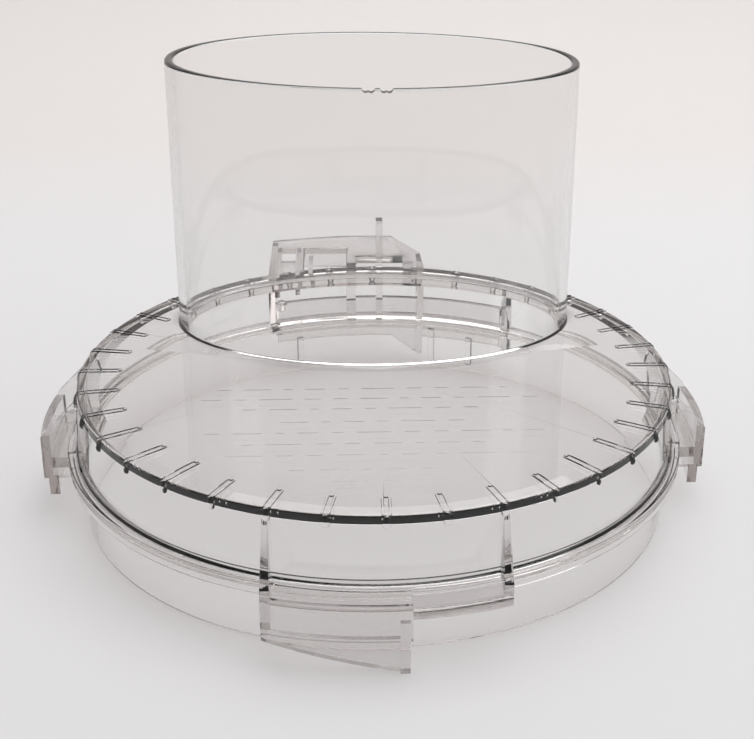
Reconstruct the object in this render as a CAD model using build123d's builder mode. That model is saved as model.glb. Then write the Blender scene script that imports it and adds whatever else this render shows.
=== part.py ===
from build123d import *
import math
import os

# Clear moulded work-bowl cover with a wide oval feed tube.
# Millimetres. +Z up, origin on the cover's axis at the bottom edge of the skirt.
# -Y is the front (the wide front lug), +Y is the back (the handle ear).

# --- driving dimensions: the round cover -----------------------------------------
rim_r = 104.0            # outside radius at the top rim
drum_foot_r = 105.2      # outside radius where the drum meets the flange
flange_r = 108.65        # outside radius of the flange
skirt_r = 103.5          # outside radius of the skirt that goes into the bowl
wall = 2.2               # general wall
plate_top = 47.1
plate_t = 3.2
flange_top = 24.3
flange_t = 3.0
lip_drop = 2.1           # small lip under the flange's outer edge
lip_w = 2.4
skirt_wall = 2.4
rim_round = 1.0

plate_bottom = plate_top - plate_t
flange_bottom = flange_top - flange_t
drum_top_r = rim_r + 0.1
skirt_inner_r = skirt_r - skirt_wall
in_wall_r = rim_r - 0.5          # lies inside the drum wall at every height
bowl_gap_r = flange_r - lip_w    # the bowl's own wall fits between the skirt and this radius

# --- feed tube --------------------------------------------------------------------
tube_a = 73.7            # outside half width, left to right
tube_b = 45.2            # outside half depth, front to back
tube_y = 46.4            # centre of the oval, behind the cover's axis
tube_wall = 3.0
tube_top = 146.9
notch_w = 3.6
notch_h = 1.3
notch_x = 3.0            # centre of each notch, left and right of the middle
bead = 1.4               # weld bead round the foot of the tube

# --- grip ribs round the rim ------------------------------------------------------
rib_count = 36
rib_gap = 1.9            # between the two rails of a rib
rail_w = 0.9
rail_h = 0.6
rib_in_r = 91.0          # inner end of a rail on the plate
rib_in_rear_r = 96.7     # inner end where the tube stands close to the rim
rear_rib_angles = (40, 140)
bump_r = 1.5

# --- lugs -------------------------------------------------------------------------
lug_r = 117.0            # outside radius of the hook walls
hook_t = 2.8
ramp_out_r = 115.7
ramp_t = 3.3
gusset_t = 3.0
gusset_tip_t = 1.5       # a gusset thins to this where it meets the rim
front_nose_z = 27.2      # top of a front gusset's vertical outer edge
front_hook_top = 24.1
hook_step = 11.6         # level where the front wall steps in to the ramp
front_half = 37.5        # half width of the front lug over its gussets
front_hook_end = 7.4     # the front hook stops here; plain shelf beyond it
shelf_top = 23.9
shelf_bottom = 19.3
ramp_high = 8.4          # ramp's lower edge at its shallow end
ramp_low = 0.3           # and at its deep end
stop_top = 17.0          # top of the block that closes the front hook
side_half = 18.8
nose_z = 31.0            # as front_nose_z, for the side and rear lugs
side_hook_top = 30.5
side_step = 15.1
side_ramp_z = 8.7
web_top = 22.1           # the webs that join the side and rear hooks to the flange
web_bottom = 18.2

# --- handle ear at the back -------------------------------------------------------
ear_left = -43.2
ear_right = 21.8
ear_r = 142.6            # radius of the ear's far edge about the cover's axis
ear_wall = 2.6
chamfer_top = (9.7, 142.1)
chamfer_end_y = 121.0
pocket = (-28.6, -10.8, 126.2)   # low x, high x, far y
slot = (-6.9, 13.3, 116.0)
cell = (-38.6, -32.4, 110.5, 127.8)
blade_t = 2.6
blade_x = 3.1
blade_far_y = 110.5
blade_top = 66.4
rear_gusset_x = 57.0
rear_hook_top = 28.8
rear_hook_z = 11.2       # lower edge of the rear hook walls
rear_foot_z = 4.2        # lowest edge of the ear's right wall and the hook beside it
rear_ramp = (8.5, 18.5)  # the edge slopes down to that level between these x

# --- plain bars in place of the moulded wording -----------------------------------
bar_w = 2.2
bar_h = 0.35
bar_gap = 2.6
bar_lengths = (6.5, 11.0, 4.5, 8.5, 5.5, 13.0, 7.0)
bar_rows = (              # each row's y and half width
    (-16.7, 56.0), (-24.5, 61.0), (-32.2, 47.0), (-41.8, 34.0), (-49.6, 58.0),
    (-57.4, 46.0), (-65.1, 50.0), (-74.7, 30.0), (-82.4, 17.0))

os.makedirs("parts", exist_ok=True)
pieces = []


def finish(builder, name):
    """Labels a finished piece and writes its STEP file."""
    builder.part.label = name
    export_step(builder.part, f"parts/{name}.step")
    pieces.append(name)


def trim(*others):
    """Cuts the pieces already made out of the piece being built."""
    for other in others:
        add(other.part, mode=Mode.SUBTRACT)


def along(angle):
    """Unit vectors of a lug: tangent (left to right, seen from outside) and outward."""
    turn = math.radians(angle)
    return Vector(math.cos(turn), math.sin(turn), 0), Vector(math.sin(turn), -math.cos(turn), 0)


def ring(name, outline):
    """A ring or disc revolved from a closed outline of (radius, height) points."""
    with BuildPart() as piece:
        with BuildSketch(Plane.XZ):
            with BuildLine():
                Polyline(*outline, close=True)
            make_face()
        revolve(axis=Axis.Z)
    return piece


# --- cover plate ------------------------------------------------------------------
with BuildPart() as cover_plate:
    with BuildSketch(Plane.XY.offset(plate_bottom)):
        Circle(rim_r)
    extrude(amount=plate_t)
    rim_edge = cover_plate.edges().filter_by(GeomType.CIRCLE).sort_by(Axis.Z)[-1]
    fillet(rim_edge, radius=rim_round)
    with BuildSketch(Plane.XY.offset(plate_bottom)):
        with Locations((0, tube_y)):
            Ellipse(tube_a - tube_wall, tube_b - tube_wall)
    extrude(amount=plate_t, mode=Mode.SUBTRACT)
finish(cover_plate, "cover_plate")

# --- drum, flange and skirt -------------------------------------------------------
drum_wall = ring("drum_wall", [
    (drum_foot_r, flange_top), (rim_r, plate_bottom),
    (rim_r - wall, plate_bottom), (drum_foot_r - wall, flange_top)])
finish(drum_wall, "drum_wall")

flange_ring = ring("flange_ring", [
    (skirt_inner_r, flange_bottom), (bowl_gap_r, flange_bottom),
    (bowl_gap_r + 0.4, flange_bottom - lip_drop), (flange_r - 0.3, flange_bottom - lip_drop),
    (flange_r, flange_bottom), (flange_r, flange_top - 0.7), (flange_r - 0.7, flange_top),
    (skirt_inner_r, flange_top)])
finish(flange_ring, "flange_ring")

with BuildPart() as bowl_skirt:
    with BuildSketch(Plane.XZ):
        with BuildLine():
            Polyline(
                (skirt_r, 0), (skirt_r, flange_bottom),
                (skirt_inner_r, flange_bottom), (skirt_inner_r, 0), close=True)
        make_face()
    revolve(axis=Axis.Z)
    fillet(bowl_skirt.edges().filter_by(GeomType.CIRCLE).group_by(Axis.Z)[0], radius=0.7)
finish(bowl_skirt, "bowl_skirt")

with BuildPart() as skirt_ribs:
    for angle, rib_top in ((107.5, 18.0), (75.7, 20.8), (66.3, 18.5)):
        with BuildSketch(Plane.XY.rotated((0, 0, angle)).offset(4.0)):
            with Locations((skirt_inner_r, 0)):
                Rectangle(3.2, 2.4)
        extrude(amount=rib_top - 4.0)
    trim(bowl_skirt)
    inner_solids = skirt_ribs.solids().sort_by(SortBy.DISTANCE)[:3]
with BuildPart() as skirt_ribs_kept:
    add(inner_solids)
finish(skirt_ribs_kept, "skirt_ribs")

# --- feed tube --------------------------------------------------------------------
with BuildPart() as feed_tube:
    with BuildSketch(Plane.XY.offset(plate_top)):
        with Locations((0, tube_y)):
            Ellipse(tube_a, tube_b)
            Ellipse(tube_a - tube_wall, tube_b - tube_wall, mode=Mode.SUBTRACT)
    extrude(amount=tube_top - plate_top)
    with BuildSketch(Plane.XY.offset(tube_top - notch_h)):
        with Locations((-notch_x, tube_y - tube_b), (notch_x, tube_y - tube_b)):
            Rectangle(notch_w, 4 * tube_wall)
    extrude(amount=notch_h, mode=Mode.SUBTRACT)
finish(feed_tube, "feed_tube")

with BuildPart() as tube_weld_bead:
    with BuildSketch(Plane.XY.offset(plate_top)):
        with Locations((0, tube_y)):
            Ellipse(tube_a + bead, tube_b + bead)
    extrude(amount=bead, taper=40)
    with BuildSketch(Plane.XY.offset(plate_top)):
        with Locations((0, tube_y)):
            Ellipse(tube_a, tube_b)
    extrude(amount=2 * bead, mode=Mode.SUBTRACT)
finish(tube_weld_bead, "tube_weld_bead")


# --- grip ribs: two thin rails on the plate that join in a bump on the rim ---------
def grip_rib(inner_r):
    """One rib on the +X side, trimmed to sit on the plate and the drum."""
    with BuildPart() as rib:
        for side in (-1, 1):
            with BuildSketch(Plane.XZ.offset(side * rib_gap / 2)):
                with BuildLine():
                    Polyline(
                        (inner_r, plate_top - 0.3), (inner_r, plate_top + 0.3),
                        (inner_r + 0.6, plate_top + rail_h), (rim_r - 1.9, plate_top + rail_h),
                        (rim_r - 0.2, plate_top - 0.4), (rim_r + 0.6, plate_top - 2.0),
                        (rim_r + 0.7, plate_top - 3.6), (rim_r - 1.0, plate_top - 3.6),
                        (rim_r - 2.0, plate_top - 0.3), close=True)
                make_face()
            extrude(amount=rail_w / 2, both=True)
        with BuildSketch(Plane.XY.offset(plate_top - 5.4)):
            with Locations((rim_r - 0.3, 0)):
                Circle(bump_r)
        extrude(amount=3.6)
        trim(cover_plate, drum_wall)
    return max(rib.solids(), key=lambda solid: solid.volume if solid.center().X > 0 else 0)


long_rib = grip_rib(rib_in_r)
short_rib = grip_rib(rib_in_rear_r)
with BuildPart() as grip_ribs:
    for step in range(rib_count):
        angle = step * 360 / rib_count
        near_tube = rear_rib_angles[0] <= angle <= rear_rib_angles[1]
        with Locations(Location((0, 0, 0), (0, 0, angle))):
            add(short_rib if near_tube else long_rib)
finish(grip_ribs, "grip_ribs")


# --- lugs -------------------------------------------------------------------------
# the room that the bowl's wall and the inside of the cover need, kept free of lugs
with BuildPart() as bowl_room:
    with BuildSketch():
        Circle(bowl_gap_r)
    extrude(amount=flange_bottom)
    with BuildSketch(Plane.XY.offset(flange_bottom)):
        Circle(in_wall_r)
    extrude(amount=plate_top - flange_bottom)


def gussets(angle, places, feet, nose_top):
    """Upright plates across a lug, from the rim out to the nose and down to their feet."""
    tangent, outward = along(angle)
    with BuildPart() as piece:
        for place, foot in zip(places, feet):
            nose = math.sqrt(lug_r**2 - place**2)
            root = math.sqrt(rim_r**2 - place**2)
            with BuildSketch(Plane(origin=tangent * place, x_dir=outward, z_dir=-tangent)):
                with BuildLine():
                    Polyline(
                        (root - 3.5, plate_bottom - 0.2), (root + 0.8, plate_bottom - 0.2),
                        (nose - 0.9, nose_top + 0.8), (nose, nose_top - 0.4),
                        (nose, foot), (root - 3.5, foot), close=True)
                make_face()
            extrude(amount=gusset_t / 2, both=True)
        with BuildSketch(Plane(origin=(0, 0, 0), x_dir=tangent, z_dir=outward)):
            for place in places:
                with BuildLine():
                    Polyline(
                        (place - gusset_t / 2, 0), (place + gusset_t / 2, 0),
                        (place + gusset_t / 2, flange_top), (place + gusset_tip_t / 2, plate_bottom),
                        (place - gusset_tip_t / 2, plate_bottom), (place - gusset_t / 2, flange_top),
                        close=True)
                make_face()
        extrude(amount=2 * lug_r, mode=Mode.INTERSECT)
        trim(bowl_room, *cover_body, grip_ribs)
    return piece


def curved_bar(angle, outline, inner_r, outer_r, cut=()):
    """A bar between two radii of a lug, cut to an outline of (across, height) points."""
    tangent, outward = along(angle)
    with BuildPart() as piece:
        with BuildSketch():
            Circle(outer_r)
            Circle(inner_r, mode=Mode.SUBTRACT)
        extrude(amount=plate_top)
        with BuildSketch(Plane(origin=(0, 0, 0), x_dir=tangent, z_dir=outward)):
            with BuildLine():
                Polyline(*outline, close=True)
            make_face()
        extrude(amount=2 * outer_r, mode=Mode.INTERSECT)
        trim(*cut)
    return piece


def block(low_x, high_x, low_z, high_z):
    """A rectangle as an outline."""
    return [(low_x, low_z), (high_x, low_z), (high_x, high_z), (low_x, high_z)]


cover_body = (cover_plate, drum_wall, flange_ring, bowl_skirt)
gusset_in = front_half - gusset_t / 2
hook_in_r = lug_r - hook_t

# front lug: hook on the left, plain shelf on the right
front_gussets = gussets(0, (-gusset_in, gusset_in), (hook_step, shelf_top), front_nose_z)
finish(front_gussets, "front_lug_gussets")
front_web = curved_bar(0, block(-front_half + gusset_t, front_hook_end, flange_bottom, flange_top),
                       bowl_gap_r, hook_in_r, cut=(*cover_body, front_gussets))
finish(front_web, "front_lug_web")
front_hook = curved_bar(0, block(-front_half + gusset_t, front_hook_end, hook_step, front_hook_top),
                        hook_in_r, lug_r, cut=(front_gussets, front_web))
finish(front_hook, "front_lug_hook")
front_shelf = curved_bar(0, block(front_hook_end, front_half, shelf_bottom, shelf_top),
                         bowl_gap_r, lug_r, cut=(*cover_body, front_web, front_hook))
finish(front_shelf, "front_lug_shelf")
ramp_end = front_hook_end - 3.7
front_ramp = curved_bar(0, [(-front_half, ramp_high), (ramp_end, ramp_low), (ramp_end, hook_step),
                            (-front_half, hook_step)], ramp_out_r - ramp_t, ramp_out_r)
finish(front_ramp, "front_lug_ramp")
front_stop = curved_bar(0, block(ramp_end, ramp_end + gusset_t, ramp_low, stop_top),
                        ramp_out_r - ramp_t, lug_r, cut=(front_hook, front_web))
finish(front_stop, "front_lug_stop")

# side lugs: a gusset at each end, one hook between them
side_in = side_half - gusset_t / 2
for side_name, side_turn in (("right", 90), ("left", -90)):
    side_gussets = gussets(side_turn, (-side_in, side_in), (side_step, side_step), nose_z)
    finish(side_gussets, f"{side_name}_lug_gussets")
    between = side_half - gusset_t
    side_web = curved_bar(side_turn, block(-between, between, web_bottom, web_top),
                          bowl_gap_r, hook_in_r, cut=(*cover_body, side_gussets))
    finish(side_web, f"{side_name}_lug_web")
    side_hook = curved_bar(side_turn, block(-between, between, side_step, side_hook_top),
                           hook_in_r, lug_r, cut=(side_gussets,))
    finish(side_hook, f"{side_name}_lug_hook")
    side_ramp = curved_bar(side_turn, block(-side_half, side_half, side_ramp_z, side_step),
                           ramp_out_r - ramp_t, ramp_out_r)
    finish(side_ramp, f"{side_name}_lug_ramp")

# rear lug: its hook runs on under the ear and ends at one tall gusset
rear_gusset = gussets(180, (-rear_gusset_x,), (rear_hook_z,), nose_z)
finish(rear_gusset, "rear_lug_gusset")

# --- handle ear: walls ------------------------------------------------------------
with BuildPart() as ear_right_wall:
    with BuildSketch(Plane.YZ.offset(ear_right - ear_wall)):
        with BuildLine():
            Polyline(
                (98, plate_bottom), (chamfer_end_y, plate_bottom), (chamfer_end_y - 1, 33),
                (117, 27.0), (117, rear_foot_z), (110.5, rear_foot_z), (108, flange_bottom), (98, flange_bottom),
                close=True)
        make_face()
    extrude(amount=ear_wall)
    trim(bowl_room, *cover_body, grip_ribs)
finish(ear_right_wall, "ear_right_wall")

with BuildPart() as ear_left_wall:
    with BuildSketch(Plane.YZ.offset(ear_left)):
        with BuildLine():
            Polyline(
                (88, plate_bottom), (134.8, plate_bottom), (134.8, 38), (111, 20), (88, 20),
                close=True)
        make_face()
    extrude(amount=ear_wall)
    trim(bowl_room, *cover_body, grip_ribs)
finish(ear_left_wall, "ear_left_wall")

# --- rear hook walls and webs, on both sides of the ear's right wall ---------------
# Outlines run right to left here, because a lug's own left is seen from outside.
ear_cut = (*cover_body, ear_left_wall, ear_right_wall, rear_gusset)
under_left, under_right = ear_left + ear_wall, ear_right - ear_wall
rear_edge = rear_gusset_x - gusset_t / 2
web_left = curved_bar(180, block(-under_right, -under_left, web_bottom, web_top),
                      bowl_gap_r, hook_in_r, cut=ear_cut)
finish(web_left, "rear_lug_web_left")
hook_left = curved_bar(180, [(-under_right, rear_hook_top), (-under_right, rear_foot_z),
                             (-rear_ramp[1], rear_foot_z), (-rear_ramp[0], rear_hook_z),
                             (-under_left, rear_hook_z), (-under_left, rear_hook_top)],
                       hook_in_r, lug_r, cut=ear_cut)
finish(hook_left, "rear_lug_hook_left")
web_right = curved_bar(180, block(-rear_edge, -ear_right, web_bottom, web_top),
                       bowl_gap_r, hook_in_r, cut=ear_cut)
finish(web_right, "rear_lug_web_right")
hook_right = curved_bar(180, block(-rear_edge, -ear_right, rear_hook_z, rear_hook_top),
                        hook_in_r, lug_r, cut=ear_cut)
finish(hook_right, "rear_lug_hook_right")

# --- handle ear: top plate, dividers and guide blade -------------------------------
with BuildPart() as ear_divider:
    with BuildSketch(Plane.XY.offset(flange_top)):
        with Locations(((pocket[1] + slot[0]) / 2, 106)):
            Rectangle(slot[0] - pocket[1], 9)
        Circle(in_wall_r, mode=Mode.SUBTRACT)
    extrude(amount=plate_bottom - flange_top)
    trim(*cover_body, grip_ribs)
finish(ear_divider, "ear_divider")

with BuildPart() as guide_blade:
    with BuildSketch(Plane.YZ.offset(blade_x - blade_t / 2)):
        with BuildLine():
            Polyline(
                (99, flange_top), (blade_far_y, flange_top), (blade_far_y - 0.8, blade_top),
                (105.2, blade_top), (104.6, blade_top - 1), (104.6, plate_top + 1.2),
                (rim_r - 1.2, plate_top - 0.2), (99, plate_top - 0.2), close=True)
        make_face()
    extrude(amount=blade_t)
    with BuildSketch():
        Circle(in_wall_r)
    extrude(amount=plate_top, mode=Mode.SUBTRACT)
    trim(*cover_body, grip_ribs)
finish(guide_blade, "guide_blade")

with BuildPart() as ear_top:
    with BuildSketch(Plane.XY.offset(plate_bottom)):
        far_left_y = math.sqrt(ear_r**2 - ear_left**2)
        far_mid = Vector(0, ear_r).rotate(Axis.Z, 8)
        with BuildLine():
            Polyline((ear_left, 60), (ear_left, far_left_y))
            ThreePointArc((ear_left, far_left_y), (far_mid.X, far_mid.Y), chamfer_top)
            Polyline(chamfer_top, (ear_right - 0.8, chamfer_end_y), (ear_right, 60),
                     (ear_left, 60))
        make_face()
        Circle(rim_r - 1.2, mode=Mode.SUBTRACT)
        for low_x, high_x, far_y in (pocket, slot):
            with Locations(((low_x + high_x) / 2, far_y / 2)):
                Rectangle(high_x - low_x, far_y, mode=Mode.SUBTRACT)
        with Locations(((cell[0] + cell[1]) / 2, (cell[2] + cell[3]) / 2)):
            Rectangle(cell[1] - cell[0], cell[3] - cell[2], mode=Mode.SUBTRACT)
    extrude(amount=plate_t)
    top_rim = ear_top.faces().sort_by(Axis.Z)[-1].outer_wire().edges()
    fillet(top_rim.filter_by(lambda edge: edge.center().Y > 112), radius=0.8)
    trim(cover_plate, drum_wall, grip_ribs, guide_blade)
finish(ear_top, "ear_top_plate")

with BuildPart() as pocket_post:
    with BuildSketch(Plane.XY.offset(40)):
        with Locations((-25.8, 104)):
            Rectangle(1.8, 27)
        Circle(in_wall_r, mode=Mode.SUBTRACT)
    extrude(amount=plate_top - 0.3 - 40)
    trim(cover_plate, drum_wall, grip_ribs)
finish(pocket_post, "ear_pocket_post")

with BuildPart() as cell_ribs:
    for rib_x in (cell[0] - 1.0, cell[1] + 1.2):
        with BuildSketch(Plane.XY.offset(36)):
            with Locations((rib_x, 111)):
                Rectangle(1.8, 36)
            Circle(in_wall_r, mode=Mode.SUBTRACT)
        extrude(amount=plate_bottom - 36)
    trim(cover_plate, drum_wall, grip_ribs)
finish(cell_ribs, "ear_cell_ribs")

with BuildPart() as pocket_lip:
    with BuildSketch(Plane.XY.offset(38.5)):
        with Locations(((pocket[0] + pocket[1]) / 2, pocket[2] + 1.2)):
            Rectangle(pocket[1] - pocket[0] + 2.4, 2.4)
    extrude(amount=plate_bottom - 38.5)
    trim(cell_ribs)
finish(pocket_lip, "ear_pocket_lip")

with BuildPart() as ear_block:
    with BuildSketch(Plane.XY.offset(plate_bottom - 5.0)):
        with Locations(((slot[1] + 17.8) / 2, 108)):
            Rectangle(17.8 - slot[1], 8)
    extrude(amount=5.0)
    trim(ear_right_wall)
finish(ear_block, "ear_block")

with BuildPart() as drum_pip:
    with BuildSketch(Plane(origin=(-38, 90, 31.6), x_dir=(1, 0, 0), z_dir=(0, 1, 0))):
        Circle(2.3)
    extrude(amount=9.5)
    with BuildSketch():
        Circle(in_wall_r)
    extrude(amount=plate_top, mode=Mode.SUBTRACT)
    trim(drum_wall)
finish(drum_pip, "drum_pip")

# --- rows of plain low bars on the plate ------------------------------------------
with BuildPart() as plate_bars:
    index = 0
    for row_y, half in bar_rows:
        bar_x = -half
        with BuildSketch(Plane.XY.offset(plate_top)):
            while bar_x + bar_lengths[index % len(bar_lengths)] <= half:
                length = bar_lengths[index % len(bar_lengths)]
                with Locations((bar_x + length / 2, row_y)):
                    SlotOverall(length, bar_w)
                bar_x += length + bar_gap
                index += 1
        extrude(amount=bar_h)
finish(plate_bars, "plate_bars")

print(len(pieces), "pieces")
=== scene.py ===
import bmesh
import bpy
import math
from mathutils import Matrix, Vector


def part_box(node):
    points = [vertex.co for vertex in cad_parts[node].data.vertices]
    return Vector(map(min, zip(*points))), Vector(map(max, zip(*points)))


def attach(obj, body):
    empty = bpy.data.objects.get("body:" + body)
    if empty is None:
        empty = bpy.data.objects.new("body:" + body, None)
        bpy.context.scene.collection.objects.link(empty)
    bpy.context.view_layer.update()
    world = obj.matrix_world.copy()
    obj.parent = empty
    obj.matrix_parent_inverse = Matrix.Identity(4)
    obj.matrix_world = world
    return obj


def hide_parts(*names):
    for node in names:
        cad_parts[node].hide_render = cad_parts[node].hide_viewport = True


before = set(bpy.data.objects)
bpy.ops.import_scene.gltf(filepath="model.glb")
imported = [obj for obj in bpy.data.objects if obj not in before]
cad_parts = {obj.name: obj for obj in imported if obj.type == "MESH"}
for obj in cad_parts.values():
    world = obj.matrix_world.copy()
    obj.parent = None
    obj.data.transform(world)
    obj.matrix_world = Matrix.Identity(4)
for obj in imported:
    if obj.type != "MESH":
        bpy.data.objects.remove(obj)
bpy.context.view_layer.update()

MM = 0.001


# --- sizes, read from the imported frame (in millimetres) ----------------------------
def span(node):
    """Lowest and highest corner of a CAD node, in millimetres."""
    low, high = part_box(node)
    return Vector(low) / MM, Vector(high) / MM


plate_low, plate_high = span("cover_plate")
drum_high = span("drum_wall")[1]
flange_low, flange_high = span("flange_ring")
skirt_low, skirt_high = span("bowl_skirt")
tube_low, tube_high = span("feed_tube")

rim_r = max(plate_high.x, plate_high.y)
plate_top, plate_bottom = plate_high.z, plate_low.z
foot_r = drum_high.x
flange_r, flange_top, lip_bottom = flange_high.x, flange_high.z, flange_low.z
flange_bottom = skirt_high.z
skirt_r, skirt_bottom = skirt_high.x, skirt_low.z
tube_a = (tube_high.x - tube_low.x) / 2
tube_b = (tube_high.y - tube_low.y) / 2
tube_y = (tube_high.y + tube_low.y) / 2
tube_top = tube_high.z
WALL, SKIRT_WALL, TUBE_WALL = 2.2, 2.4, 3.0

# grip ribs, in millimetres; depths are below the plate's top
RIBS = 36
RIB_START_BESIDE_TUBE, RIB_START_FRONT, RIB_START_SIDES = 96.9, 93.0, 90.0
RAIL_OFFSET, RAIL_RADIUS, RAIL_DEPTH = 1.1, 0.58, 0.34
RIM_ROUND, RIM_STEPS = 1.0, 6
DOT_RADIUS, KNOB_RADIUS = 1.0, 1.5
# plain bars: how deep their middle lies and half their height
BAR_DEPTH, BAR_HALF_HEIGHT = 0.12, 0.17
# notches in the tube's front edge
NOTCH_PLACES, NOTCH_HALF_GAP, NOTCH_RADIUS = (-3.0, 3.0), 0.9, 1.35
TUBE_SUPPORT = 3.5          # a ring this far below the tube's top, under the notches
COPY_GROWTH = 0.02          # each copied CAD piece is pushed out this much, so that it joins
WELD_DISTANCE = 0.002       # CAD points closer than this are one point


# --- mesh helpers ------------------------------------------------------------------
def rounded(corners, steps=6, support=0.25):
    """A closed outline with its corners rounded. Each corner is (x, y, radius).

    A support point beyond each arc keeps the long straight stretch shaded as straight.
    """
    points = []
    count = len(corners)
    for i, (x, y, radius) in enumerate(corners):
        here = Vector((x, y))
        if radius <= 0:
            points.append(here)
            continue
        before = (Vector(corners[i - 1][:2]) - here).normalized()
        after = (Vector(corners[(i + 1) % count][:2]) - here).normalized()
        half = before.angle(after) / 2
        reach = radius / math.tan(half)
        centre = here + (before + after).normalized() * (radius / math.sin(half))
        start, end = here + before * reach, here + after * reach
        a0 = math.atan2(start.y - centre.y, start.x - centre.x)
        a1 = math.atan2(end.y - centre.y, end.x - centre.x)
        turn = (a1 - a0 + math.pi) % (2 * math.pi) - math.pi
        room = [(Vector(end_point[:2]) - here).length - reach - end_point[2]
                for end_point in (corners[i - 1], corners[(i + 1) % count])]
        if room[0] > 3 * support:
            points.append(start + before * support)
        for s in range(steps + 1):
            a = a0 + turn * s / steps
            points.append(centre + Vector((math.cos(a), math.sin(a))) * radius)
        if room[1] > 3 * support:
            points.append(end + after * support)
    return points


def mesh_piece(name, verts, faces):
    """A new object from points in millimetres, its normals outward."""
    mesh = bpy.data.meshes.new(name)
    bm = bmesh.new()
    made = [bm.verts.new(v) for v in verts]
    for face in faces:
        bm.faces.new([made[i] for i in face])
    bmesh.ops.recalc_face_normals(bm, faces=bm.faces)
    bm.to_mesh(mesh)
    bm.free()
    piece = bpy.data.objects.new(name, mesh)
    bpy.context.collection.objects.link(piece)
    return piece


def swept_rings(rings, closed=True):
    """Faces between rings of equal length; the last joins the first when closed."""
    faces = []
    n = len(rings[0])
    for i in range(len(rings) if closed else len(rings) - 1):
        j = (i + 1) % len(rings)
        faces += [(rings[i][k], rings[i][(k + 1) % n], rings[j][(k + 1) % n], rings[j][k])
                  for k in range(n)]
    return faces


def round_body(name, outline, around=288):
    """The outline, (radius, height) points, turned about the cover's axis."""
    verts, faces, rings = [], [], []
    for radius, height in outline:
        if radius < 1e-6:
            rings.append([len(verts)])
            verts.append((0, 0, height))
        else:
            rings.append(list(range(len(verts), len(verts) + around)))
            verts += [(radius * math.cos(2 * math.pi * k / around),
                       radius * math.sin(2 * math.pi * k / around), height) for k in range(around)]
    for i, ring in enumerate(rings):
        nxt = rings[(i + 1) % len(rings)]
        if len(ring) == 1 and len(nxt) == 1:
            continue
        for k in range(around):
            m = (k + 1) % around
            if len(ring) == 1:
                faces.append((ring[0], nxt[m], nxt[k]))
            elif len(nxt) == 1:
                faces.append((ring[k], ring[m], nxt[0]))
            else:
                faces.append((ring[k], ring[m], nxt[m], nxt[k]))
    return mesh_piece(name, verts, faces)


def oval_rings(outline, around=256):
    """Points and rings of an outline, (offset from the tube's outside, height), round the oval."""
    verts, rings = [], []
    for offset, height in outline:
        rings.append(list(range(len(verts), len(verts) + around)))
        for k in range(around):
            t = 2 * math.pi * k / around
            x, y = tube_a * math.cos(t), tube_b * math.sin(t)
            n = Vector((math.cos(t) / tube_a, math.sin(t) / tube_b)).normalized()
            verts.append((x + n.x * offset, tube_y + y + n.y * offset, height))
    return verts, rings


def oval_body(name, outline):
    """A closed outline run round the oval."""
    verts, rings = oval_rings(outline)
    return mesh_piece(name, verts, swept_rings(rings))


def oval_plug(name, outline):
    """A solid cutter: as oval_body, but filled from its lowest to its highest ring."""
    verts, rings = oval_rings(outline)
    return mesh_piece(name, verts, swept_rings(rings, closed=False) + [rings[0], rings[-1]])


def rod(path, radius, sides=12):
    """Points and faces of a round-ended rod along a path."""
    verts, rings = [], []
    path = [Vector(p) for p in path]
    first, last = (path[0] - path[1]).normalized(), (path[-1] - path[-2]).normalized()
    stations = [(path[0] + first * radius * 0.85, 0.45), (path[0] + first * radius * 0.5, 0.85)]
    stations += [(p, 1.0) for p in path]
    stations += [(path[-1] + last * radius * 0.5, 0.85), (path[-1] + last * radius * 0.85, 0.45)]
    for i, (p, size) in enumerate(stations):
        ahead = stations[min(i + 1, len(stations) - 1)][0]
        behind = stations[max(i - 1, 0)][0]
        along = (ahead - behind).normalized()
        side = along.cross(Vector((0, 0, 1)))
        if side.length <= 0.05:
            side = along.cross(Vector((0, 1, 0)))
        side.normalize()
        up = side.cross(along)
        rings.append(list(range(len(verts), len(verts) + sides)))
        for k in range(sides):
            a = 2 * math.pi * k / sides
            verts.append(p + (side * math.cos(a) + up * math.sin(a)) * radius * size)
    faces = swept_rings(rings, closed=False) + [rings[0][::-1], rings[-1]]
    return verts, faces


def add_part(verts, faces, part, place=Matrix()):
    """Adds the points and faces of one part, moved into place, to a growing mesh."""
    new_verts, new_faces = part
    faces += [[i + len(verts) for i in face] for face in new_faces]
    verts += [place @ p for p in new_verts]


def combine(target, others, operation):
    """Adds the other objects to the target, or cuts them out of it, and removes them."""
    group = bpy.data.collections.new("operands")
    bpy.context.scene.collection.children.link(group)
    for other in others:
        group.objects.link(other)
    step = target.modifiers.new("step", "BOOLEAN")
    step.operation = operation
    step.solver = "MANIFOLD"
    step.operand_type = "COLLECTION"
    step.material_mode = "TRANSFER"
    step.collection = group
    graph = bpy.context.evaluated_depsgraph_get()
    result = bpy.data.meshes.new_from_object(target.evaluated_get(graph))
    target.modifiers.clear()
    target.data = result
    for other in others:
        bpy.data.objects.remove(other, do_unlink=True)
    bpy.data.collections.remove(group)


def millimetre_mesh(node):
    """A bmesh of a CAD node in millimetres, its doubled points welded."""
    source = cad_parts[node]
    bm = bmesh.new()
    bm.from_mesh(source.data)
    bm.transform(source.matrix_world)
    bm.transform(Matrix.Scale(1 / MM, 4))
    bmesh.ops.remove_doubles(bm, verts=bm.verts, dist=WELD_DISTANCE)
    return bm


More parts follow.
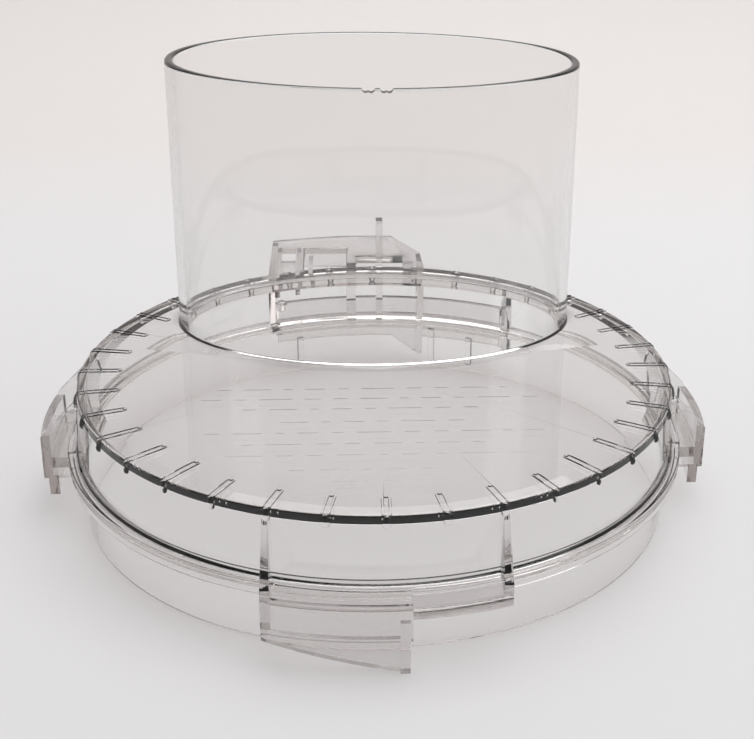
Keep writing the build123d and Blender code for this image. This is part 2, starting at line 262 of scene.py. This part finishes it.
def copy_of(node, material):
    """A clean millimetre copy of a CAD node's mesh, each face pushed out a little."""
    bm = millimetre_mesh(node)
    bmesh.ops.recalc_face_normals(bm, faces=bm.faces)
    bm.normal_update()
    for v in bm.verts:
        v.co += v.normal * (COPY_GROWTH * v.calc_shell_factor())
    mesh = bpy.data.meshes.new(node + "_copy")
    bm.to_mesh(mesh)
    bm.free()
    mesh.materials.clear()
    mesh.materials.append(material)
    piece = bpy.data.objects.new(node + "_copy", mesh)
    bpy.context.collection.objects.link(piece)
    return piece


# --- clear plastic -----------------------------------------------------------------
def ramp(tree, value, low, high, to_low, to_high):
    """Maps a value between two limits, held at its ends."""
    step = tree.nodes.new("ShaderNodeMapRange")
    step.inputs["From Min"].default_value = low
    step.inputs["From Max"].default_value = high
    step.inputs["To Min"].default_value = to_low
    step.inputs["To Max"].default_value = to_high
    tree.links.new(value, step.inputs["Value"])
    return step.outputs["Result"]


def joined(tree, operation, first, second):
    """One value from two: added, multiplied or the larger."""
    step = tree.nodes.new("ShaderNodeMath")
    step.operation = operation
    tree.links.new(first, step.inputs[0])
    tree.links.new(second, step.inputs[1])
    return step.outputs["Value"]


def noise(tree, vector, scale, detail, distortion=0.0):
    """Noise at a place."""
    step = tree.nodes.new("ShaderNodeTexNoise")
    step.inputs["Scale"].default_value = scale
    step.inputs["Detail"].default_value = detail
    step.inputs["Distortion"].default_value = distortion
    tree.links.new(vector, step.inputs["Vector"])
    return step.outputs["Fac"]


def stretched(tree, vector, scale, turn):
    """The place, drawn out so that noise there becomes streaks."""
    step = tree.nodes.new("ShaderNodeMapping")
    step.inputs["Scale"].default_value = scale
    step.inputs["Rotation"].default_value = turn
    tree.links.new(vector, step.inputs["Vector"])
    return step.outputs["Vector"]


CLEAR = (0.985, 0.982, 0.979, 1)
GREYER = (0.915, 0.905, 0.900, 1)           # lugs and ear, outside the flange
LUGS_FROM, LUGS_FULL = 0.1088, 0.1094       # metres from the axis
EAR_TOP_FROM, EAR_TOP_FULL = 0.0464, 0.0468      # metres up
EAR_REACH_FROM, EAR_REACH_FULL = 0.1050, 0.1056  # metres from the axis


def scratches(tree, place, scale, turn, low, high, strength):
    """Short fine scratches one way."""
    streaks = noise(tree, stretched(tree, place, scale, turn), 1, 3, 0.6)
    return ramp(tree, streaks, low, high, 0, strength)


def clear_plastic(name, density, haze, streaks, worn_outside):
    """Clear moulded plastic: wiping scratches and haze in the gloss, slow mould waves."""
    mat = bpy.data.materials.new(name)
    mat.use_nodes = True
    tree = mat.node_tree
    node, link = tree.nodes.new, tree.links.new
    shader = tree.nodes["Principled BSDF"]
    shader.inputs["Base Color"].default_value = CLEAR
    shader.inputs["Transmission Weight"].default_value = 1.0
    shader.inputs["IOR"].default_value = 1.57
    place = node("ShaderNodeTexCoord").outputs["Object"]

    # short fine scratches two ways, and broad patches where the surface is handled more
    first = scratches(tree, place, (260, 1900, 260), (0.2, 0.3, 0.6), 0.60, 0.74, streaks)
    second = scratches(tree, place, (1500, 210, 300), (0.5, 0.1, -0.4), 0.63, 0.76, streaks)
    film = ramp(tree, noise(tree, place, 42, 4), 0.42, 0.72, 0.010, 0.010 + haze)
    gloss = joined(tree, "ADD", joined(tree, "ADD", first, second), film)
    if worn_outside:
        # lugs and ear are rubbed more; the ear's top has a satin moulded grain
        split = node("ShaderNodeSeparateXYZ")
        link(place, split.inputs["Vector"])
        flat = node("ShaderNodeVectorMath")
        flat.operation = "MULTIPLY"
        flat.inputs[1].default_value = (1, 1, 0)
        link(place, flat.inputs[0])
        reach = node("ShaderNodeVectorMath")
        reach.operation = "LENGTH"
        link(flat.outputs["Vector"], reach.inputs[0])
        outside = ramp(tree, reach.outputs["Value"], LUGS_FROM, LUGS_FULL, 0, worn_outside)
        grey = node("ShaderNodeMix")
        grey.data_type = "RGBA"
        link(ramp(tree, reach.outputs["Value"], LUGS_FROM, LUGS_FULL, 0, 1), grey.inputs["Factor"])
        grey.inputs["A"].default_value = CLEAR
        grey.inputs["B"].default_value = GREYER
        link(grey.outputs["Result"], shader.inputs["Base Color"])
        top = joined(tree, "MULTIPLY",
                     ramp(tree, split.outputs["Z"], EAR_TOP_FROM, EAR_TOP_FULL, 0, 1),
                     ramp(tree, reach.outputs["Value"], EAR_REACH_FROM, EAR_REACH_FULL, 0, 0.16))
        grain = ramp(tree, noise(tree, place, 1400, 2), 0.35, 0.65, 0.5, 1.0)
        satin = joined(tree, "MULTIPLY", top, grain)
        gloss = joined(tree, "ADD", gloss, joined(tree, "ADD", outside, satin))
    link(gloss, shader.inputs["Roughness"])

    # slow waves of a moulded sheet
    bump = node("ShaderNodeBump")
    bump.inputs["Strength"].default_value = 0.05
    bump.inputs["Distance"].default_value = 0.0006
    link(noise(tree, place, 34, 1), bump.inputs["Height"])
    link(bump.outputs["Normal"], shader.inputs["Normal"])

    # lamps and light from the floor pass straight through it
    rays = node("ShaderNodeLightPath").outputs
    through = node("ShaderNodeBsdfTransparent")
    through.inputs["Color"].default_value = (0.95, 0.945, 0.945, 1)
    mix = node("ShaderNodeMixShader")
    link(joined(tree, "MAXIMUM", rays["Is Shadow Ray"], rays["Is Diffuse Ray"]), mix.inputs["Fac"])
    link(shader.outputs["BSDF"], mix.inputs[1])
    link(through.outputs["BSDF"], mix.inputs[2])
    link(mix.outputs["Shader"], tree.nodes["Material Output"].inputs["Surface"])

    # a faint warm grey through its thickness
    tint = node("ShaderNodeVolumeAbsorption")
    tint.inputs["Color"].default_value = (0.50, 0.455, 0.44, 1)
    tint.inputs["Density"].default_value = density
    link(tint.outputs["Volume"], tree.nodes["Material Output"].inputs["Volume"])
    return mat


cover_plastic = clear_plastic("clear_cover", 36, 0.016, 0.09, 0.03)
tube_plastic = clear_plastic("clear_tube", 28, 0.010, 0.07, 0)

# --- the moulded cover: one continuous clear moulding ------------------------------
drum_in = foot_r - WALL
cover = round_body("cover_moulding", rounded([
    (0, plate_top, 0), (rim_r, plate_top, 0.95), (foot_r, flange_top, 1.8),
    (flange_r, flange_top, 0.9), (flange_r, flange_bottom + 0.4, 0.3),
    (flange_r - 0.3, lip_bottom, 0.6), (flange_r - 2.0, lip_bottom, 0.5),
    (flange_r - 2.4, flange_bottom, 0.4), (skirt_r, flange_bottom, 0.4),
    (skirt_r, skirt_bottom, 0.9), (skirt_r - SKIRT_WALL, skirt_bottom, 0.9),
    (skirt_r - SKIRT_WALL, flange_top - 0.8, 0.5), (drum_in, flange_top + 0.6, 0.5),
    (rim_r - WALL, plate_bottom - 0.6, 0.3), (rim_r - WALL - 5, plate_bottom, 1.5),
    (0, plate_bottom, 0)]))
cover.data.materials.append(cover_plastic)
hole = oval_plug("hole", [
    (-TUBE_WALL + 1.6, plate_bottom - 1), (-TUBE_WALL + 0.55, plate_bottom - 0.05),
    (-TUBE_WALL + 0.2, plate_bottom + 0.15), (-TUBE_WALL, plate_bottom + 0.5),
    (-TUBE_WALL, plate_top + 2)])
hole.data.materials.append(cover_plastic)
combine(cover, [hole], "DIFFERENCE")

# grip ribs: two round-ended rails each, closed by a dot, bent over the rim to one knob
verts, faces = [], []
for step in range(RIBS):
    turn = step * 360 / RIBS
    start = RIB_START_SIDES
    if 40 <= turn <= 140:
        start = RIB_START_BESIDE_TUBE
    elif 240 <= turn <= 300:
        start = RIB_START_FRONT
    spin = Matrix.Rotation(math.radians(turn), 4, "Z")
    on_plate, round_middle = plate_top - RAIL_DEPTH, rim_r - RIM_ROUND
    bend = RIM_ROUND - 0.25
    for side in (-RAIL_OFFSET, RAIL_OFFSET):
        path = [(start, side, on_plate - 0.06), (start + 1.0, side, on_plate),
                (start + 4, side, on_plate), (rim_r - 1.6, side, on_plate)]
        for s in range(1, RIM_STEPS + 1):
            a = math.radians(90 - s * 90 / RIM_STEPS)
            path.append((round_middle + bend * math.cos(a), side * (1 - 0.05 * s),
                         plate_top - RIM_ROUND + bend * math.sin(a)))
        path.append((rim_r - 0.02, side * 0.5, plate_top - 2.3))
        add_part(verts, faces, rod(path, RAIL_RADIUS), spin)
    dot = [(start, 0, plate_top - 1.8), (start, 0, plate_top - 0.6)]
    add_part(verts, faces, rod(dot, DOT_RADIUS, sides=20), spin)
rails = mesh_piece("rails", verts, faces)
verts, faces = [], []
knob = [(rim_r - 0.7, 0, plate_top - 1.4), (rim_r - 0.2, 0, plate_top - 3.2)]
for step in range(RIBS):
    spin = Matrix.Rotation(math.radians(step * 360 / RIBS), 4, "Z")
    add_part(verts, faces, rod(knob, KNOB_RADIUS, sides=24), spin)
bumps = mesh_piece("bumps", verts, faces)

# plain low bars on the plate: each CAD bar becomes a softly domed one of the same length;
# they are taken in the mesh's own order, because a set's order changes from run to run
verts, faces = [], []
bars = millimetre_mesh("plate_bars")
done = set()
for seed in bars.verts:
    if seed in done:
        continue
    done.add(seed)
    island, stack = [], [seed]
    while stack:
        vert = stack.pop()
        island.append(vert.co)
        for edge in vert.link_edges:
            other = edge.other_vert(vert)
            if other not in done:
                done.add(other)
                stack.append(other)
    low_x, high_x = min(p.x for p in island), max(p.x for p in island)
    low_y, high_y = min(p.y for p in island), max(p.y for p in island)
    middle, half_w = (low_y + high_y) / 2, (high_y - low_y) / 2
    v, f = rod([(low_x + half_w, middle, 0), (high_x - half_w, middle, 0)], half_w, sides=16)
    flatten = BAR_HALF_HEIGHT / half_w
    v = [Vector((p.x, p.y, plate_top - BAR_DEPTH + p.z * flatten)) for p in v]
    add_part(verts, faces, (v, f))
bars.free()
bars = mesh_piece("bars", verts, faces)
for piece in (rails, bumps, bars):
    piece.data.materials.append(cover_plastic)

others = [rails, bumps, bars]
for node in sorted(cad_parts):
    if "lug" in node or node.startswith("ear_") or node in ("guide_blade", "drum_pip", "skirt_ribs"):
        others.append(copy_of(node, cover_plastic))
combine(cover, others, "UNION")

# --- feed tube, welded on ----------------------------------------------------------
tube = oval_body("feed_tube_wall", rounded([
    (0, tube_top, 1.0), (0, tube_top - TUBE_SUPPORT, 0), (0, plate_top + 1.0, 0.4),
    (0.8, plate_top + 0.1, 0.2), (-TUBE_WALL, plate_top + 0.1, 0.3),
    (-TUBE_WALL, tube_top - TUBE_SUPPORT, 0), (-TUBE_WALL, tube_top, 1.0)]))
tube.data.materials.append(tube_plastic)
notches = []
tube_front = tube_y - tube_b
for place in NOTCH_PLACES:
    for x in (place - NOTCH_HALF_GAP, place + NOTCH_HALF_GAP):
        cut = [(x, tube_front - 3, tube_top + 0.1), (x, tube_front + 9, tube_top + 0.1)]
        notches.append(mesh_piece("notch", *rod(cut, NOTCH_RADIUS, sides=16)))
for notch in notches:
    notch.data.materials.append(tube_plastic)
combine(tube, notches, "DIFFERENCE")


# --- finishing ---------------------------------------------------------------------
def mark_flats(mesh, low=10.0, least_area=1.5):
    """Marks the faces of every flat region, so that curved neighbours don't bend its shading."""
    bm = bmesh.new()
    bm.from_mesh(mesh)
    bm.faces.ensure_lookup_table()
    seen = [False] * len(bm.faces)
    flat = [False] * len(bm.faces)
    for seed in bm.faces:
        if seen[seed.index]:
            continue
        seen[seed.index] = True
        region, stack = [], [seed]
        rim = soft = area = 0.0
        while stack:
            face = stack.pop()
            region.append(face)
            area += face.calc_area()
            for edge in face.edges:
                for other in edge.link_faces:
                    if other is face:
                        continue
                    bend = math.degrees(seed.normal.angle(other.normal, 0.0))
                    if bend < 0.05:
                        if not seen[other.index]:
                            seen[other.index] = True
                            stack.append(other)
                    else:
                        length = edge.calc_length()
                        rim += length
                        soft += length if bend < low else 0.0
        if area >= least_area and soft < 0.25 * rim:
            for face in region:
                flat[face.index] = True
    bm.free()
    mesh.polygons.foreach_set("use_smooth", [not f for f in flat])


def finish_piece(piece, nodes, angle=35):
    """Scales a millimetre piece to metres, smooths it and hands it to the frame."""
    for attribute in [a for a in piece.data.attributes if a.name == "custom_normal"]:
        piece.data.attributes.remove(attribute)
    piece.data.set_sharp_from_angle(angle=math.radians(angle))
    mark_flats(piece.data)
    piece.data.transform(Matrix.Scale(MM, 4))
    piece.data.update()
    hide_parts(*nodes)
    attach(piece, "root")


finish_piece(cover, [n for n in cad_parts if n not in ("feed_tube", "tube_weld_bead")])
finish_piece(tube, ["feed_tube", "tube_weld_bead"])

# --- floor, light, camera ----------------------------------------------------------
FLOOR_TONE, WALL_TONE = (0.80, 0.797, 0.802, 1), (0.80, 0.768, 0.752, 1)
WARMER_FROM, WARMER_FULL = 0.26, 0.46       # metres behind the axis
FLOOR_RADIUS, SWEEP, WALL_TOP = 1.2, 0.8, 2.6
AROUND, SWEEP_STEPS = 96, 12


def paper():
    """Pale paper: neutral on the floor, a little warmer on the wall."""
    mat = bpy.data.materials.new("pale_paper")
    mat.use_nodes = True
    tree = mat.node_tree
    node, link = tree.nodes.new, tree.links.new
    shader = tree.nodes["Principled BSDF"]
    shader.inputs["Roughness"].default_value = 0.9
    place = node("ShaderNodeTexCoord").outputs["Object"]
    split = node("ShaderNodeSeparateXYZ")
    link(place, split.inputs["Vector"])
    tone = node("ShaderNodeMix")
    tone.data_type = "RGBA"
    tone.inputs["A"].default_value = FLOOR_TONE
    tone.inputs["B"].default_value = WALL_TONE
    link(ramp(tree, split.outputs["Y"], WARMER_FROM, WARMER_FULL, 0, 1), tone.inputs["Factor"])
    link(tone.outputs["Result"], shader.inputs["Base Color"])
    return mat


verts, faces = [(0, 0, 0)], []
profile = [(0.5, 0), (FLOOR_RADIUS, 0)]
for s in range(1, SWEEP_STEPS + 1):
    a = math.radians(90 * s / SWEEP_STEPS)
    profile.append((FLOOR_RADIUS + SWEEP * math.sin(a), SWEEP - SWEEP * math.cos(a)))
profile.append((FLOOR_RADIUS + SWEEP, WALL_TOP))
for radius, z in profile:
    for k in range(AROUND):
        a = 2 * math.pi * k / AROUND
        verts.append((radius * math.cos(a), radius * math.sin(a), z))
for k in range(AROUND):
    m = (k + 1) % AROUND
    faces.append((0, 1 + k, 1 + m))
    for i in range(len(profile) - 1):
        a, b = 1 + i * AROUND, 1 + (i + 1) * AROUND
        faces.append((a + k, b + k, b + m, a + m))
mesh = bpy.data.meshes.new("floor_and_wall")
mesh.from_pydata(verts, [], faces)
studio = bpy.data.objects.new("floor_and_wall", mesh)
bpy.context.collection.objects.link(studio)
for face in mesh.polygons:
    face.use_smooth = True
mesh.materials.append(paper())

world = bpy.data.worlds.new("room")
bpy.context.scene.world = world
world.use_nodes = True
sky = world.node_tree.nodes["Background"]
sky.inputs["Color"].default_value = (0.42, 0.42, 0.43, 1)
sky.inputs["Strength"].default_value = 0.52
bpy.context.scene.view_settings.view_transform = "Standard"


def area(name, where, towards, size, power):
    """A rectangular soft lamp, aimed at a point."""
    data = bpy.data.lights.new(name, "AREA")
    data.shape = "RECTANGLE"
    data.size, data.size_y = size
    data.energy = power
    lamp = bpy.data.objects.new(name, data)
    lamp.location = where
    lamp.rotation_euler = (Vector(towards) - Vector(where)).to_track_quat("-Z", "Y").to_euler()
    bpy.context.collection.objects.link(lamp)


area("overhead", (0.25, 0.45, 1.7), (0.05, 0.35, 0), (2.0, 1.6), 25.7)
area("side", (1.5, -0.7, 1.0), (0, 0, 0.05), (0.8, 0.8), 3.5)

camera_data = bpy.data.cameras.new("camera")
camera_data.sensor_width = 36
camera_data.lens = 70.78
camera_data.shift_x = -0.1366
camera = bpy.data.objects.new("camera", camera_data)
forward = Vector((0.09066, 0.90433, -0.4171)).normalized()
right = Vector((0.99581, -0.08726, 0.02724)).normalized()
up = right.cross(forward)
turn = Matrix((right, up, -forward)).transposed()
camera.matrix_world = Matrix.Translation((-0.0117, -0.48017, 0.2673)) @ turn.to_4x4()
bpy.context.collection.objects.link(camera)
bpy.context.scene.camera = camera
